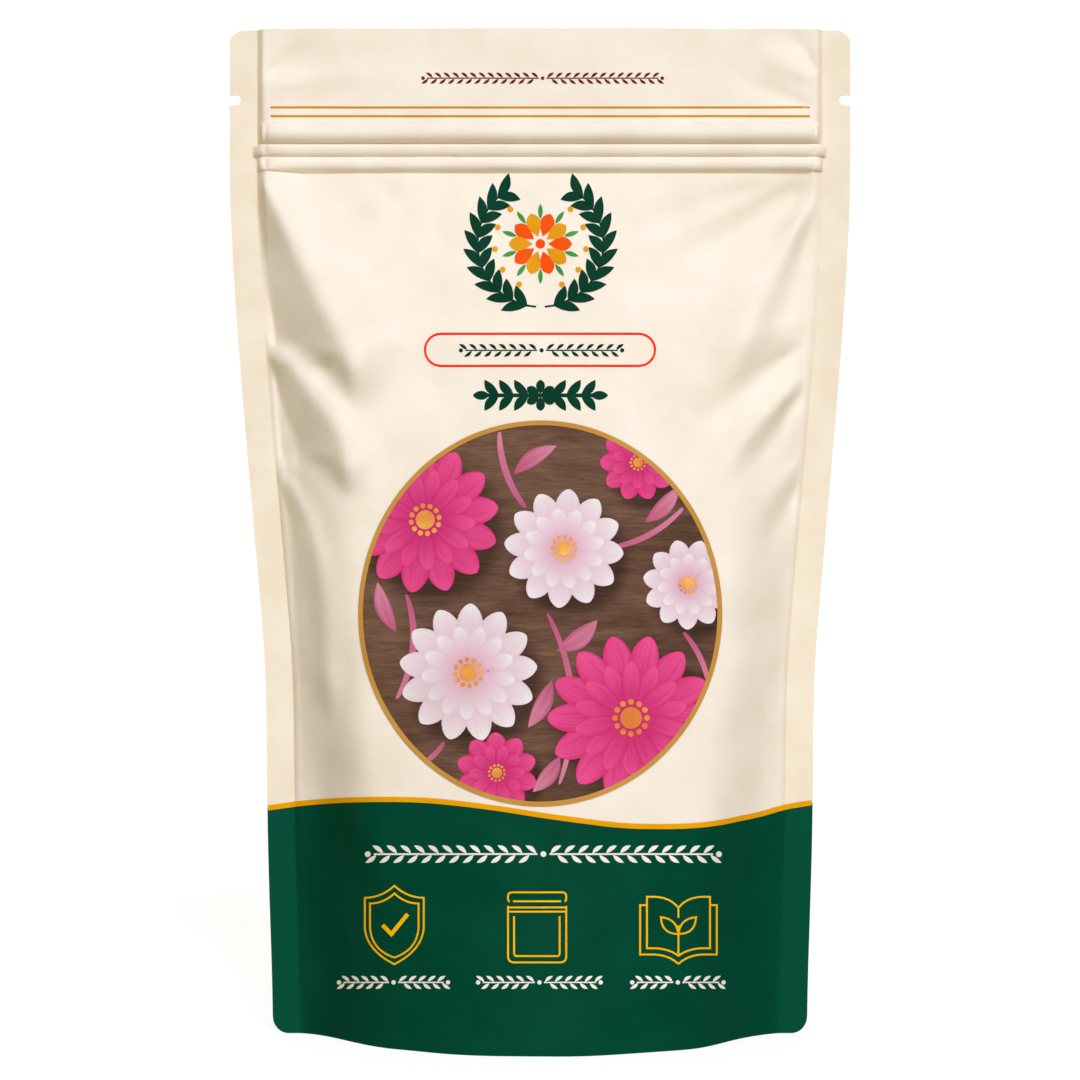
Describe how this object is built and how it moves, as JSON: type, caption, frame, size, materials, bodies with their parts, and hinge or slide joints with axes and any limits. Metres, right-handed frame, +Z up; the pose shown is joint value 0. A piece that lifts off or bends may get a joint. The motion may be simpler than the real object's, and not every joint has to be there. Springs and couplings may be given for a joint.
{
  "type": "stand-up resealable seed pouch",
  "caption": "Filled stand-up film pouch with sealed sides, a folded bottom gusset, tear notches and a press-to-close strip under its mouth.",
  "frame": {"origin": "on the floor plane under the middle of the standing pouch", "axes": "+Z up from the base to the mouth, the printed front faces -Y, and X runs across from side seal to side seal"},
  "size_m": [0.13, 0.0552, 0.21],
  "materials": {
    "panel_film": "matte laminate, printed",
    "gusset_film": "matte laminate, printed dark green",
    "strip_plastic": "milky polyethylene",
    "seeds": "dry round seeds"
  },
  "bodies": {
    "root": {"front_panel": "panel_film", "back_panel": "panel_film", "bottom_gusset": "gusset_film", "zipper_groove_strip": "strip_plastic", "zipper_ridge_strip": "strip_plastic", "seed_fill": "seeds"}
  },
  "joints": []
}
